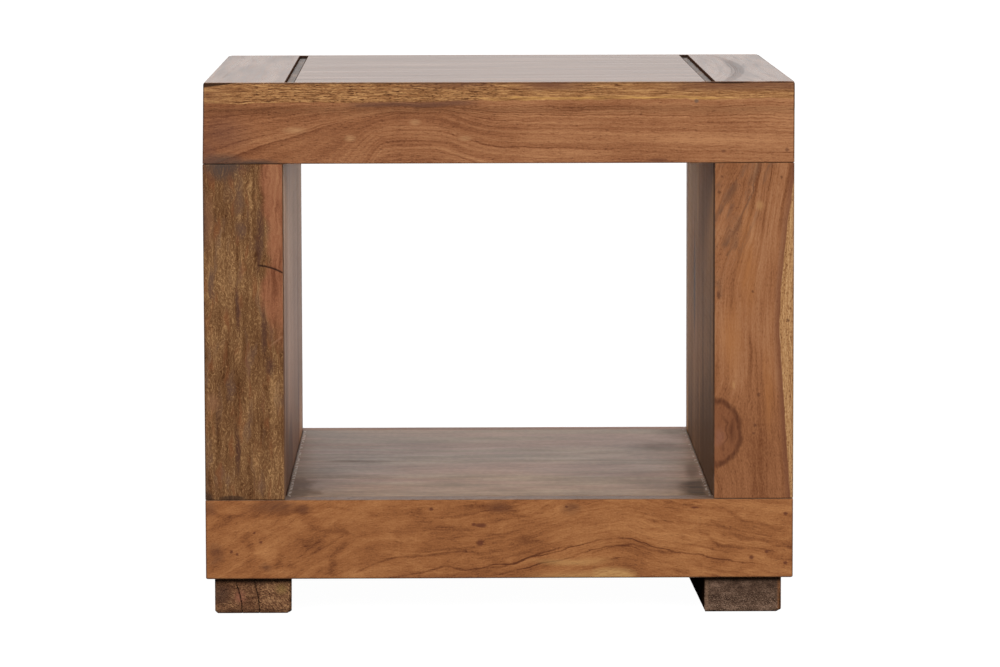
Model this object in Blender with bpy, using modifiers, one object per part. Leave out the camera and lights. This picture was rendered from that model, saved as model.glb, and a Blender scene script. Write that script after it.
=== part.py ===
"""Square occasional table in solid hardwood: an open bay with a shelf, between two hollow side walls.

Metres, +Z up. The origin is on the floor under the middle of the table, and the front looks towards -Y.
The front and back are face frames of two rails and two posts. Each side is a hollow wall, an inner and an
outer panel of glued-up boards round two spacer battens. The top has end boards that run from front to back,
with a shadow groove between them and the middle boards. The whole stands on two runners.
"""

import bmesh
import bpy
from mathutils import Vector

# Plan
WIDTH = 0.500
DEPTH = 0.500

# Heights, from the floor up
RUNNER_HEIGHT = 0.0305
BOTTOM_RAIL_HEIGHT = 0.068
OPENING_HEIGHT = 0.286
TOP_RAIL_HEIGHT = 0.0685

# Boards
FRAME_THICKNESS = 0.022
POST_WIDTH = 0.0675
WALL_BOARD_THICKNESS = 0.018
TOP_THICKNESS = 0.022
TOP_LIP = 0.008
SHELF_THICKNESS = 0.020
TOP_BOARDS = 4
SHELF_BOARDS = 4
WALL_BOARDS = 4

# Shadow groove in the top, floored by the tongues of the middle boards
GROOVE_WIDTH = 0.007
GROOVE_DEPTH = 0.004
TONGUE_THICKNESS = 0.008
TONGUE_ENTRY = 0.009

# Hidden timber
BEARER_SIZE = 0.020
SILL_HEIGHT = 0.040
HEAD_HEIGHT = 0.035
TENON_WIDTH = 0.040
TENON_THICKNESS = 0.008
TENON_REACH = 0.020

# Runners and their countersunk screws
RUNNER_WIDTH = 0.0655
LEFT_RUNNER_INSET = 0.0072
RIGHT_RUNNER_INSET = 0.0095
RUNNER_SETBACK = 0.008
RUNNER_CHAMFER = 0.0025
LEFT_RUNNER_TAPER = 0.016
RIGHT_RUNNER_SKEW = 0.012
SCREWS_PER_RUNNER = 3
SCREW_END_DISTANCE = 0.060
SCREW_LENGTH = 0.050
SCREW_SEAT = 0.006
SCREW_HEAD_RADIUS = 0.0045
SCREW_HEAD_HEIGHT = 0.003
SCREW_SHANK_RADIUS = 0.00225
SCREW_POINT = 0.006
SCREW_SIDES = 16

# Edges and fits
OUTER_ROUND = 0.0016
ARRIS = 0.00025
GLUE_LINE = 0.0003
SHELF_END_GAP = 0.0006
CUT_OVERRUN = 0.002
COINCIDENT = 1e-6

# Levels and faces that several pieces share
RAIL_BOTTOM = RUNNER_HEIGHT
SHELF_TOP = RAIL_BOTTOM + BOTTOM_RAIL_HEIGHT
SHELF_UNDERSIDE = SHELF_TOP - SHELF_THICKNESS
OPENING_TOP = SHELF_TOP + OPENING_HEIGHT
TABLE_TOP = OPENING_TOP + TOP_RAIL_HEIGHT
TOP_UNDERSIDE = TABLE_TOP - TOP_THICKNESS
WALL_TOP = TOP_UNDERSIDE - GLUE_LINE
TONGUE_TOP = TABLE_TOP - GROOVE_DEPTH
TONGUE_BOTTOM = TONGUE_TOP - TONGUE_THICKNESS
OUTER_X = WIDTH / 2
OUTER_Y = DEPTH / 2
INNER_X = OUTER_X - POST_WIDTH
INNER_Y = OUTER_Y - FRAME_THICKNESS
PANEL_Y = INNER_Y - GLUE_LINE
TOP_Y = OUTER_Y - TOP_LIP - GLUE_LINE
WALL_MIDDLE_X = OUTER_X - POST_WIDTH / 2
FRAME_MIDDLE_Y = OUTER_Y - FRAME_THICKNESS / 2

SIDES = (("left", -1), ("right", 1))
FACES = (("front", -1), ("back", 1))


def fresh_collection(name):
    """Add an empty collection to the scene."""
    collection = bpy.data.collections.new(name)
    bpy.context.scene.collection.children.link(collection)
    return collection


def linear(channel):
    """Turn one 0 to 255 display channel into the linear value a shader takes."""
    share = channel / 255
    if share <= 0.04045:
        return share / 12.92
    return ((share + 0.055) / 1.055) ** 2.4


def finish(name, display_colour, roughness, metallic=0.0):
    """Add a plain material from a display colour."""
    material = bpy.data.materials.new(name)
    material.use_nodes = True
    shader = material.node_tree.nodes["Principled BSDF"]
    shader.inputs["Base Color"].default_value = [*map(linear, display_colour), 1.0]
    shader.inputs["Roughness"].default_value = roughness
    shader.inputs["Metallic"].default_value = metallic
    return material


def cube_mesh(name, size):
    """Make a box mesh centred on its origin."""
    shape = bmesh.new()
    bmesh.ops.create_cube(shape, size=1.0)
    bmesh.ops.scale(shape, vec=size, verts=shape.verts)
    mesh = bpy.data.meshes.new(name)
    shape.to_mesh(mesh)
    shape.free()
    return mesh


def place(name, mesh, location, collection, parent):
    """Add an object for a mesh at a place in the table."""
    item = bpy.data.objects.new(name, mesh)
    item.location = location
    item.parent = parent
    collection.objects.link(item)
    return item


def corners(x, y, z):
    """Sort three spans into a lowest and a highest corner."""
    spans = [sorted(span) for span in (x, y, z)]
    low = Vector([span[0] for span in spans])
    high = Vector([span[1] for span in spans])
    return low, high


def table_edge(point):
    """Give the rounding of a board's edge: full where two outside faces of the table meet."""
    outside = (
        abs(abs(point.x) - OUTER_X) < COINCIDENT,
        abs(abs(point.y) - OUTER_Y) < COINCIDENT,
        abs(point.z - TABLE_TOP) < COINCIDENT or abs(point.z - RAIL_BOTTOM) < COINCIDENT,
    )
    return OUTER_ROUND if sum(outside) == 2 else ARRIS


def runner_edge(point):
    """Give the easing of a runner's edge: a chamfer along everything that meets the floor."""
    return RUNNER_CHAMFER if abs(point.z) < COINCIDENT else ARRIS


def ease_edges(item, edge_width, segments):
    """Bevel every edge by the width that its middle calls for."""
    mesh = item.data
    middles = []
    for edge in mesh.edges:
        ends = [mesh.vertices[index].co for index in edge.vertices]
        middles.append(item.location + (ends[0] + ends[1]) / 2)
    widths = [edge_width(middle) for middle in middles]
    weights = mesh.attributes.new("bevel_weight_edge", "FLOAT", "EDGE")
    for entry, width in zip(weights.data, widths):
        entry.value = width / max(widths)
    bevel = item.modifiers.new("eased edges", "BEVEL")
    bevel.limit_method = "WEIGHT"
    bevel.width = max(widths)
    bevel.segments = segments


def board(name, x, y, z, material, edge_width=table_edge, segments=2):
    """Add a board that fills three spans."""
    low, high = corners(x, y, z)
    item = place(name, cube_mesh(name, high - low), (low + high) / 2, table, assembly)
    item.data.materials.append(material)
    ease_edges(item, edge_width, segments)
    return item


def batten(name, x, y, z):
    """Add a hidden strip of plain timber, its edges just broken."""
    return board(name, x, y, z, hidden_timber, segments=1)


def guide(item):
    """Show a cutter as a wire that is not rendered."""
    item.display_type = "WIRE"
    item.hide_render = True
    return item


def box_cutter(name, x, y, z):
    """Add a box-shaped cutter that fills three spans."""
    low, high = corners(x, y, z)
    return guide(place(name, cube_mesh(name, high - low), (low + high) / 2, cutters, assembly))


def cut(item, *tools):
    """Take cutters out of a piece."""
    for tool in tools:
        boolean = item.modifiers.new(tool.name, "BOOLEAN")
        boolean.operation = "DIFFERENCE"
        boolean.solver = "EXACT"
        boolean.object = tool


def turned(name, profile, location, collection):
    """Turn a profile of (radius, height) points, listed from the top down, about a vertical axis."""
    mesh = bpy.data.meshes.new(name)
    points = [(radius, 0.0, height) for radius, height in profile]
    mesh.from_pydata(points, [(index, index + 1) for index in range(len(points) - 1)], [])
    item = place(name, mesh, location, collection, assembly)
    screw = item.modifiers.new("turned", "SCREW")
    screw.steps = SCREW_SIDES
    screw.render_steps = SCREW_SIDES
    screw.use_merge_vertices = True
    screw.merge_threshold = 1e-5
    return item


def spread(low, high, count):
    """Share a span among glued-up boards, with a glue line between neighbours."""
    width = (high - low - GLUE_LINE * (count - 1)) / count
    starts = [low + index * (width + GLUE_LINE) for index in range(count)]
    return [(start, start + width) for start in starts]


def tenon_joint(name, x_sign, y_sign, joint_z, rail, post):
    """Let a loose tenon into a rail and the post end that meets it."""
    x = x_sign * WALL_MIDDLE_X
    y = y_sign * FRAME_MIDDLE_Y
    half_width = TENON_WIDTH / 2
    half_thickness = TENON_THICKNESS / 2
    spans = ((x, half_width), (y, half_thickness), (joint_z, TENON_REACH))
    batten("tenon_" + name, *[(middle - half, middle + half) for middle, half in spans])
    room = [(middle - half - GLUE_LINE, middle + half + GLUE_LINE) for middle, half in spans]
    mortise = box_cutter("mortise_" + name, *room)
    cut(rail, mortise)
    cut(post, mortise)


def face_frame(face, y_sign):
    """Build a full-width top and bottom rail with two posts tenoned between them.

    The top rail is rebated along its inner top edge, and the top's boards lie in the rebate behind a thin lip.
    """
    across = (-OUTER_X, OUTER_X)
    through = (y_sign * INNER_Y, y_sign * OUTER_Y)
    top_rail = board(face + "_top_rail", across, through, (OPENING_TOP, TABLE_TOP), rail_timber)
    rebate = box_cutter(
        face + "_rail_rebate",
        (-OUTER_X - CUT_OVERRUN, OUTER_X + CUT_OVERRUN),
        (y_sign * (INNER_Y - CUT_OVERRUN), y_sign * (OUTER_Y - TOP_LIP)),
        (TOP_UNDERSIDE - GLUE_LINE, TABLE_TOP + CUT_OVERRUN),
    )
    cut(top_rail, rebate)
    bottom_rail = board(face + "_bottom_rail", across, through, (RAIL_BOTTOM, SHELF_TOP), rail_timber)
    for side, x_sign in SIDES:
        post = board(
            f"{face}_{side}_post",
            (x_sign * INNER_X, x_sign * OUTER_X),
            through,
            (SHELF_TOP + GLUE_LINE, OPENING_TOP - GLUE_LINE),
            post_timber[side],
        )
        tenon_joint(f"{face}_{side}_upper", x_sign, y_sign, OPENING_TOP, top_rail, post)
        tenon_joint(f"{face}_{side}_lower", x_sign, y_sign, SHELF_TOP, bottom_rail, post)


def side_wall(side, x_sign):
    """Build a hollow wall from two panels of upright boards, and return the sill batten at its foot."""
    panels = (
        ("inner", INNER_X, INNER_X + WALL_BOARD_THICKNESS),
        ("outer", OUTER_X - WALL_BOARD_THICKNESS, OUTER_X),
    )
    for panel, near, far in panels:
        for number, run in enumerate(spread(-PANEL_Y, PANEL_Y, WALL_BOARDS), start=1):
            board(
                f"{side}_{panel}_wall_board_{number}",
                (x_sign * near, x_sign * far),
                run,
                (RAIL_BOTTOM, WALL_TOP),
                wall_timber,
            )
    hollow = (
        x_sign * (INNER_X + WALL_BOARD_THICKNESS + GLUE_LINE),
        x_sign * (OUTER_X - WALL_BOARD_THICKNESS - GLUE_LINE),
    )
    length = (-PANEL_Y, PANEL_Y)
    batten(side + "_wall_head", hollow, length, (WALL_TOP - HEAD_HEIGHT, WALL_TOP))
    return batten(side + "_wall_sill", hollow, length, (RAIL_BOTTOM, RAIL_BOTTOM + SILL_HEIGHT))


def bearers(side, x_sign):
    """Fix the battens that carry the ends of the shelf and of the top along the inside of a wall."""
    against_wall = (x_sign * (INNER_X - GLUE_LINE), x_sign * (INNER_X - GLUE_LINE - BEARER_SIZE))
    for name, carried in (("shelf", SHELF_UNDERSIDE), ("top", TOP_UNDERSIDE)):
        seat = carried - GLUE_LINE
        batten(f"{side}_{name}_bearer", against_wall, (-PANEL_Y, PANEL_Y), (seat - BEARER_SIZE, seat))


def shelf():
    """Lay the shelf boards from wall to wall, level with the top of the bottom rails."""
    reach = INNER_X - SHELF_END_GAP
    for number, run in enumerate(spread(-PANEL_Y, PANEL_Y, SHELF_BOARDS), start=1):
        board(f"shelf_board_{number}", (-reach, reach), run, (SHELF_UNDERSIDE, SHELF_TOP), shelf_timber)


def table_top():
    """Lay the middle boards of the top and slide their tongues into the two end boards."""
    thickness = (TOP_UNDERSIDE, TABLE_TOP)
    shoulder = INNER_X - GROOVE_WIDTH
    tip = INNER_X + TONGUE_ENTRY
    beyond_y = (-TOP_Y - CUT_OVERRUN, TOP_Y + CUT_OVERRUN)
    rebates = []
    for side, x_sign in SIDES:
        end_board = board(
            f"top_{side}_end_board",
            (x_sign * INNER_X, x_sign * OUTER_X),
            (-TOP_Y, TOP_Y),
            thickness,
            top_timber,
        )
        slot = box_cutter(
            f"slot_{side}",
            (x_sign * (INNER_X - CUT_OVERRUN), x_sign * (tip + GLUE_LINE)),
            beyond_y,
            (TONGUE_BOTTOM - GLUE_LINE, TONGUE_TOP + GLUE_LINE),
        )
        cut(end_board, slot)
        outward = (x_sign * shoulder, x_sign * (tip + CUT_OVERRUN))
        above = (TONGUE_TOP, TABLE_TOP + CUT_OVERRUN)
        below = (TOP_UNDERSIDE - CUT_OVERRUN, TONGUE_BOTTOM)
        rebates.append(box_cutter(f"rebate_{side}_above", outward, beyond_y, above))
        rebates.append(box_cutter(f"rebate_{side}_below", outward, beyond_y, below))
    for number, run in enumerate(spread(-TOP_Y, TOP_Y, TOP_BOARDS), start=1):
        cut(board(f"top_board_{number}", (-tip, tip), run, thickness, top_timber), *rebates)


def screw_profile(clearance, bottom):
    """Outline an upturned countersunk screw, grown by a clearance and carried down to a level."""
    head_top = SCREW_SEAT + SCREW_HEAD_HEIGHT
    point = SCREW_SEAT + SCREW_LENGTH
    shank = SCREW_SHANK_RADIUS + clearance
    head = SCREW_HEAD_RADIUS + clearance
    outline = [(0.0, point + clearance), (shank, point - SCREW_POINT), (shank, head_top), (head, SCREW_SEAT)]
    if bottom < SCREW_SEAT:
        outline.append((head, bottom))
    outline.append((0.0, bottom))
    return outline


def saw_askew(foot, inner_shift, outer_shift):
    """Move the back corners of a hand-sawn runner towards the left, its inner and outer side by as much as told."""
    for vertex in foot.data.vertices:
        if vertex.co.y > 0:
            nearer_middle = vertex.co.x * foot.location.x < 0
            vertex.co.x -= inner_shift if nearer_middle else outer_shift


def runner(side, x_sign, sill):
    """Add a runner under a wall, screwed up into the wall's sill."""
    outer = OUTER_X - runner_insets[side]
    inner = outer - RUNNER_WIDTH
    end = OUTER_Y - RUNNER_SETBACK
    foot = board(
        side + "_runner",
        (x_sign * inner, x_sign * outer),
        (-end, end),
        (0.0, RUNNER_HEIGHT - GLUE_LINE),
        runner_timber,
        edge_width=runner_edge,
        segments=1,
    )
    saw_askew(foot, *runner_shifts[side])
    last = end - SCREW_END_DISTANCE
    for index in range(SCREWS_PER_RUNNER):
        share = index / (SCREWS_PER_RUNNER - 1) if SCREWS_PER_RUNNER > 1 else 0.5
        spot = (x_sign * WALL_MIDDLE_X, last * (2 * share - 1), 0.0)
        name = f"{side}_runner_screw_{index + 1}"
        screw = turned(name, screw_profile(0.0, SCREW_SEAT), spot, table)
        screw.data.materials.append(screw_steel)
        hole = guide(turned("hole_" + name, screw_profile(GLUE_LINE, -CUT_OVERRUN), spot, cutters))
        cut(foot, hole)
        cut(sill, hole)


for leftover in list(bpy.data.objects):
    bpy.data.objects.remove(leftover)

table = fresh_collection("coffee_table_with_shelf")
cutters = fresh_collection("coffee_table_cutters")
assembly = bpy.data.objects.new("coffee_table_assembly", None)
table.objects.link(assembly)

rail_timber = finish("rail_timber", (158, 100, 62), 0.38)
post_timber = {
    "left": finish("left_post_timber", (120, 84, 56), 0.40),
    "right": finish("right_post_timber", (154, 98, 66), 0.38),
}
wall_timber = finish("wall_timber", (126, 88, 62), 0.40)
shelf_timber = finish("shelf_timber", (124, 86, 62), 0.36)
top_timber = finish("top_timber", (150, 102, 70), 0.34)
runner_timber = finish("runner_timber", (82, 62, 50), 0.55)
hidden_timber = finish("hidden_timber", (168, 128, 88), 0.60)
screw_steel = finish("screw_steel", (176, 170, 152), 0.35, 1.0)

runner_insets = {"left": LEFT_RUNNER_INSET, "right": RIGHT_RUNNER_INSET}
runner_shifts = {"left": (LEFT_RUNNER_TAPER, 0.0), "right": (RIGHT_RUNNER_SKEW, RIGHT_RUNNER_SKEW)}

for face_name, face_sign in FACES:
    face_frame(face_name, face_sign)
for side_name, side_sign in SIDES:
    wall_sill = side_wall(side_name, side_sign)
    bearers(side_name, side_sign)
    runner(side_name, side_sign, wall_sill)
shelf()
table_top()
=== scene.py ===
import math

import bpy
from mathutils import Matrix, Vector


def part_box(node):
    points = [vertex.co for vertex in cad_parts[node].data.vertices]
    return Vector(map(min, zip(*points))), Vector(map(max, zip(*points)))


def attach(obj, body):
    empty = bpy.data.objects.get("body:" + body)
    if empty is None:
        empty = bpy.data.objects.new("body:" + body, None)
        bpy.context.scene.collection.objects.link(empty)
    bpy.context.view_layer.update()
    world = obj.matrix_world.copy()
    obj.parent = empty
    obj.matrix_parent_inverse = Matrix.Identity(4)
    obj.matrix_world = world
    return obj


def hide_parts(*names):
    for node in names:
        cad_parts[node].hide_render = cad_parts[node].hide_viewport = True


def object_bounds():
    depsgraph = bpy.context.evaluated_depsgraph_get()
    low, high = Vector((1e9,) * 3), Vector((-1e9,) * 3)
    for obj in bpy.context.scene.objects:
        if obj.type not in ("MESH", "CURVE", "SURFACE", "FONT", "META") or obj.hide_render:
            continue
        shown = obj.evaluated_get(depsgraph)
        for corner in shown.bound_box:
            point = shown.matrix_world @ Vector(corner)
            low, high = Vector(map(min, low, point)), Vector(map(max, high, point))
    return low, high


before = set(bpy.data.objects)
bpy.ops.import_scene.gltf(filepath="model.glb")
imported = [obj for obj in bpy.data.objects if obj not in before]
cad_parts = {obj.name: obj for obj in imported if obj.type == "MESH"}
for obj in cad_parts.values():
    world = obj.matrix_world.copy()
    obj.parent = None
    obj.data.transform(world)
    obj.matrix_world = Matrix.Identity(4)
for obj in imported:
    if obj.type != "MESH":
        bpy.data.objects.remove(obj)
cad_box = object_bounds()
scene = bpy.context.scene

# Front bottom rail
# One planed hardwood board as wide as the table, oiled and rubbed down, with its outer edges eased by hand.
# The posts are tenoned into its top edge, and the shelf lies level with it.


class Reading:
    """A socket of a node tree that can be used in sums like a number."""

    def __init__(self, socket):
        self.socket = socket
        self.tree = socket.id_data

    def node(self, kind, inputs, output=0, stops=(), **settings):
        """Add any node: first its settings, then the values or links of its sockets."""
        added = self.tree.nodes.new(kind)
        for setting, value in settings.items():
            setattr(added, setting, value)
        for number, (position, colour) in enumerate(stops):
            elements = added.color_ramp.elements
            element = elements[number] if number < len(elements) else elements.new(position)
            element.position = position
            element.color = colour
        for key, value in inputs.items():
            if isinstance(value, Reading):
                self.tree.links.new(value.socket, added.inputs[key])
            else:
                added.inputs[key].default_value = value
        return Reading(added.outputs[output])

    def sum(self, operation, *terms):
        return self.node("ShaderNodeMath", dict(enumerate(terms)), operation=operation)

    def paired(operation, turned=False):
        """Make the method for a sum of two terms; turned takes them the other way round."""
        return lambda self, other: self.sum(operation, *((other, self) if turned else (self, other)))

    __add__ = paired("ADD")
    __radd__ = paired("ADD", turned=True)
    __sub__ = paired("SUBTRACT")
    __rsub__ = paired("SUBTRACT", turned=True)
    __mul__ = paired("MULTIPLY")
    __rmul__ = paired("MULTIPLY", turned=True)
    __truediv__ = paired("DIVIDE")
    __rtruediv__ = paired("DIVIDE", turned=True)
    __pow__ = paired("POWER")
    most = paired("MAXIMUM")
    least = paired("MINIMUM")

    def __abs__(self):
        return self.sum("ABSOLUTE", self)

    def decay(self):
        """Fall from 1 at 0 towards 0, as e to the minus this."""
        return self.sum("EXPONENT", self * -1)

    def fade(self, low, high):
        """Rise smoothly from 0 at low to 1 at high."""
        limits = {"Value": self, "From Min": low, "From Max": high}
        return self.node("ShaderNodeMapRange", limits, interpolation_type="SMOOTHSTEP")

    def near(self, spot, full, none):
        """Stay 1 within full of a spot, and fall to 0 at none from it."""
        return 1 - abs(self - spot).fade(full, none)

    def between(self, low, high, soft):
        """Stay 1 from low to high, and fall to 0 over a soft margin outside them."""
        return self.fade(low - soft, low) * (1 - self.fade(high, high + soft))

    def parts(self):
        """Split a vector into its three numbers."""
        first = self.node("ShaderNodeSeparateXYZ", {0: self})
        return [Reading(output) for output in first.socket.node.outputs]

    def joined(self, second, third):
        """Make a vector of three numbers."""
        return self.node("ShaderNodeCombineXYZ", {0: self, 1: second, 2: third})


PER_METRE = 1000.0
ROUND = .0016
SOFT = .0006
JOINT = .0003
GLUE_LINE = .0003
TIGHT = .00045
TIGHT_MARGIN = .0012
DIP = .00012
CUTS_PER_ROUND = 3.0
ROUNDED = 2.0
half_depth = PER_METRE * cad_box[1].y


def boards_tree():
    """Build the tree for a row of like boards: planed a little unevenly, with eased edges that wear has made
    uneven.
    """
    tree = bpy.data.node_groups.new("row of eased boards", "GeometryNodeTree")
    wanted = {
        "Boards": "Int", "First": "Vector", "Step": "Vector", "Size": "Vector",
        "Cuts X": "Int", "Cuts Y": "Int", "Cuts Z": "Int", "Ease Low": "Vector", "Ease High": "Vector",
        "Corner": "Float", "Dip": "Float", "Timber": "Material",
    }
    tree.interface.new_socket("Boards laid", in_out="OUTPUT", socket_type="NodeSocketGeometry")
    for name, kind in wanted.items():
        tree.interface.new_socket(name, in_out="INPUT", socket_type="NodeSocket" + kind)
    sockets = tree.nodes.new("NodeGroupInput").outputs
    given = {socket.name: Reading(socket) for socket in sockets if socket.name}
    size = given["Size"]

    def kept(pieces, name, value, kind="FLOAT"):
        """Keep a value on every corner under a name."""
        inputs = {"Geometry": pieces, "Name": name, "Value": value}
        return size.node("GeometryNodeStoreNamedAttribute", inputs, data_type=kind)

    cuts = {f"Vertices {axis}": given[f"Cuts {axis}"] for axis in "XYZ"}
    blank = size.node("GeometryNodeMeshCube", {"Size": size, **cuts})
    place = size.node("GeometryNodeInputPosition", {})
    blank = kept(blank, "local", place, "FLOAT_VECTOR")
    row = size.node("GeometryNodeMeshLine", {
        "Count": given["Boards"], "Start Location": given["First"], "Offset": given["Step"],
    })
    number = size.node("GeometryNodeInputIndex", {})
    row = kept(row, "board", number)
    laid = size.node("GeometryNodeInstanceOnPoints", {"Points": row, "Instance": blank})
    laid = size.node("GeometryNodeRealizeInstances", {"Geometry": laid})

    local = size.node("GeometryNodeInputNamedAttribute", {"Name": "local"}, data_type="FLOAT_VECTOR")
    wear = size.node("ShaderNodeTexNoise", {"Vector": place, "Scale": 28.0, "Detail": 2.0})
    wear = .55 + .9 * wear
    swell = size.node("ShaderNodeTexNoise", {"Vector": place, "Scale": 9.0, "Detail": 1.0})
    sink = given["Dip"] * swell
    inner = []
    eases = []
    reaches = []
    margins = []
    hollows = []
    for spot, whole, low, high in zip(local.parts(), size.parts(), given["Ease Low"].parts(),
                                      given["Ease High"].parts()):
        half = whole / 2
        share = spot / half
        crowded = share * (2 - abs(share)) * half
        asked = low + (high - low) * crowded.sum("GREATER_THAN", crowded, 0.0)
        ease = asked * wear
        core = crowded.most(ease - half).least(half - ease)
        inner.append(core)
        eases.append(ease)
        reaches.append((crowded - core) / ease)
        glued = asked.sum("LESS_THAN", asked, TIGHT)
        hollows.append(sink * (1 - glued))
        margins.append(half - abs(crowded) + TIGHT_MARGIN * glued)
    powers = [abs(reach) ** given["Corner"] for reach in reaches]
    length = (powers[0] + powers[1] + powers[2]) ** (1 / given["Corner"])
    moved = []
    for core, ease, hollow, reach in zip(inner, eases, hollows, reaches):
        moved.append(core + (ease - hollow) * reach / length)
    middle = place.node("ShaderNodeVectorMath", {0: place, 1: local}, operation="SUBTRACT")
    moved = place.node("ShaderNodeVectorMath", {0: middle, 1: moved[0].joined(*moved[1:])}, operation="ADD")
    nearest = margins[0].least(margins[1]).least(margins[2])
    farthest = margins[0].most(margins[1]).most(margins[2])
    arris = (margins[0] + margins[1] + margins[2] - nearest - farthest) * PER_METRE
    laid = kept(laid, "arris", arris)
    laid = size.node("GeometryNodeSetPosition", {"Geometry": laid, "Position": moved})
    laid = size.node("GeometryNodeRemoveAttribute", {"Geometry": laid, "Name": "local"})
    laid = size.node("GeometryNodeSetShadeSmooth", {"Geometry": laid})
    laid = size.node("GeometryNodeRealizeInstances", {"Geometry": laid})
    laid = size.node("GeometryNodeSetMaterial", {"Geometry": laid, "Material": given["Timber"]})
    tree.links.new(laid.socket, tree.nodes.new("NodeGroupOutput").inputs[0])
    return tree


eased_boards = boards_tree()


def evaluated_piece(name, tree, values):
    """Run a tree on an empty piece and keep its result as a plain mesh at the origin."""
    piece = bpy.data.objects.new(name, bpy.data.meshes.new(name))
    scene.collection.objects.link(piece)
    modifier = piece.modifiers.new(tree.name, "NODES")
    modifier.node_group = tree
    for item in tree.interface.items_tree:
        if item.in_out == "INPUT":
            modifier[item.identifier] = values[item.name]
    worked = piece.evaluated_get(bpy.context.evaluated_depsgraph_get())
    mesh = bpy.data.meshes.new_from_object(worked)
    piece.modifiers.remove(modifier)
    piece.data = mesh
    mesh.name = name
    return piece


def lay_boards(name, nodes, timber, ease_low, ease_high, boxes=None, cuts=None, corner=ROUNDED,
               work=None):
    """Stand a row of eased boards in the places of like nodes, for which they are shown.

    A face with a joint's ease is glued to its neighbour, so it reaches to the middle of the glue line.
    Work, if it is given, moves each corner of the finished boards.
    """
    boxes = boxes or [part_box(node) for node in nodes]
    low = boxes[0][0].copy()
    high = boxes[0][1].copy()
    step = (boxes[-1][0] - boxes[0][0]) / max(len(boxes) - 1, 1)
    for axis in range(3):
        low[axis] -= GLUE_LINE / 2 * (ease_low[axis] == JOINT)
        high[axis] += GLUE_LINE / 2 * (ease_high[axis] == JOINT)
    size = high - low
    cuts = cuts or [2 * math.ceil(CUTS_PER_ROUND * math.sqrt(side / 2 / ROUND)) + 1 for side in size]
    piece = evaluated_piece(name, eased_boards, {
        "Boards": len(boxes), "First": (low + high) / 2, "Step": step, "Size": size,
        "Cuts X": cuts[0], "Cuts Y": cuts[1], "Cuts Z": cuts[2],
        "Ease Low": ease_low, "Ease High": ease_high, "Corner": corner, "Dip": DIP, "Timber": timber,
    })
    if work:
        for vertex in piece.data.vertices:
            vertex.co = work(vertex.co)
    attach(piece, "root")
    if nodes:
        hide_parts(*nodes)
    return piece


def display(red, green, blue):
    """Turn a colour as seen on a display into the linear one that a shader takes."""
    shares = [channel / 255 for channel in (red, green, blue)]
    return [share / 12.92 if share <= .04045 else ((share + .055) / 1.055) ** 2.4 for share in shares] + [1]


def open_timber(name):
    """Start a timber material, and give the place on it in millimetres along X, Y and Z."""
    material = bpy.data.materials.new(name)
    material.use_nodes = True
    place = Reading(material.node_tree.nodes.new("ShaderNodeTexCoord").outputs["Object"])
    place = place.node("ShaderNodeVectorMath", {0: place, "Scale": PER_METRE}, operation="SCALE")
    return material, *place.parts()


def uneven(along, across, deep, detail=2):
    """Read smooth noise, mostly between -1 and 1, about one wave for each unit."""
    where = along.joined(across, deep)
    return 4 * where.node("ShaderNodeTexNoise", {"Vector": where, "Scale": 1, "Detail": detail}) - 2


def seasons(ring, spacing, seed):
    """Draw the dark close of each season's growth: thin lines, sharp on one side, of uneven strength."""
    count = ring / spacing + seed * 17.3
    count = count + .45 * uneven(count * .6, seed * 3.1, 0)
    season = count.sum("FLOOR", count)
    share = count - season
    strength = season.node("ShaderNodeTexWhiteNoise", {"W": season}, noise_dimensions="1D")
    after = season.node("ShaderNodeTexWhiteNoise", {"W": season + 1}, noise_dimensions="1D")
    early = (1 - share.fade(.0, .42)) * strength
    late = share.fade(.82, 1) * after
    return early.most(late)


def pores(along, ring, deep, seed, length=5, width=1.1, share=.5):
    """Scatter the short dark dashes that open pores leave along the grain."""
    where = (along / length + seed).joined(ring / width, deep / width)
    cell = where.node("ShaderNodeTexVoronoi", {"Vector": where, "Scale": 1})
    chance = Reading(cell.socket.node.outputs["Color"])
    chance = chance.node("ShaderNodeSeparateColor", {0: chance})
    return (1 - cell.fade(.12, .42)) * chance.sum("LESS_THAN", chance, share)


def oval(first, second, centre, reach, soft=.5):
    """Fill an oval with 1, fading to 0 at its rim."""
    wide = (first - centre[0]) / reach[0]
    tall = (second - centre[1]) / reach[1]
    return 1 - ((wide * wide + tall * tall) ** .5).fade(1 - soft, 1)


def ovals(first, second, spots, soft=.7):
    """Fill several ovals, each given by its middle and its reach both ways."""
    filled = oval(first, second, spots[0][:2], spots[0][2:], soft)
    for spot in spots[1:]:
        filled = filled.most(oval(first, second, spot[:2], spot[2:], soft))
    return filled


def strokes(first, second, paths, full, none):
    """Draw thin lines through the corners of paths: 1 along them, and 0 at none from them."""
    drawn = first * 0
    for path in paths:
        for start, stop in zip(path, path[1:]):
            run = stop[0] - start[0]
            rise = stop[1] - start[1]
            share = ((first - start[0]) * run + (second - start[1]) * rise) / (run * run + rise * rise)
            share = share.most(0).least(1)
            wide = first - start[0] - run * share
            tall = second - start[1] - rise * share
            drawn = drawn.most(1 - ((wide * wide + tall * tall) ** .5).fade(full, none))
    return drawn


def over(mask, under, colour):
    """Lay a colour over another where a mask says so."""
    return mask.node("ShaderNodeMix", {0: mask, 6: under, 7: colour}, 2, data_type="RGBA")


def layered(colour, *layers):
    """Lay stains over a colour in turn; each has its mask and its red, green and blue."""
    for mask, *stain in layers:
        colour = over(mask, colour, display(*stain))
    return colour


def noted(reading, name):
    """Read a number that a piece keeps on its corners, such as which board of its row it is."""
    return reading.node("ShaderNodeAttribute", {}, 2, attribute_name=name)


def tinted(tone, dark, middle, light):
    """Turn a tone from -1 to 1 into a colour of one wood, from its dark to its light."""
    share = tone * .5 + .5
    stops = ((0, display(*dark)), (.5, display(*middle)), (1, display(*light)))
    return share.node("ShaderNodeValToRGB", {0: share}, stops=stops)


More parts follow.
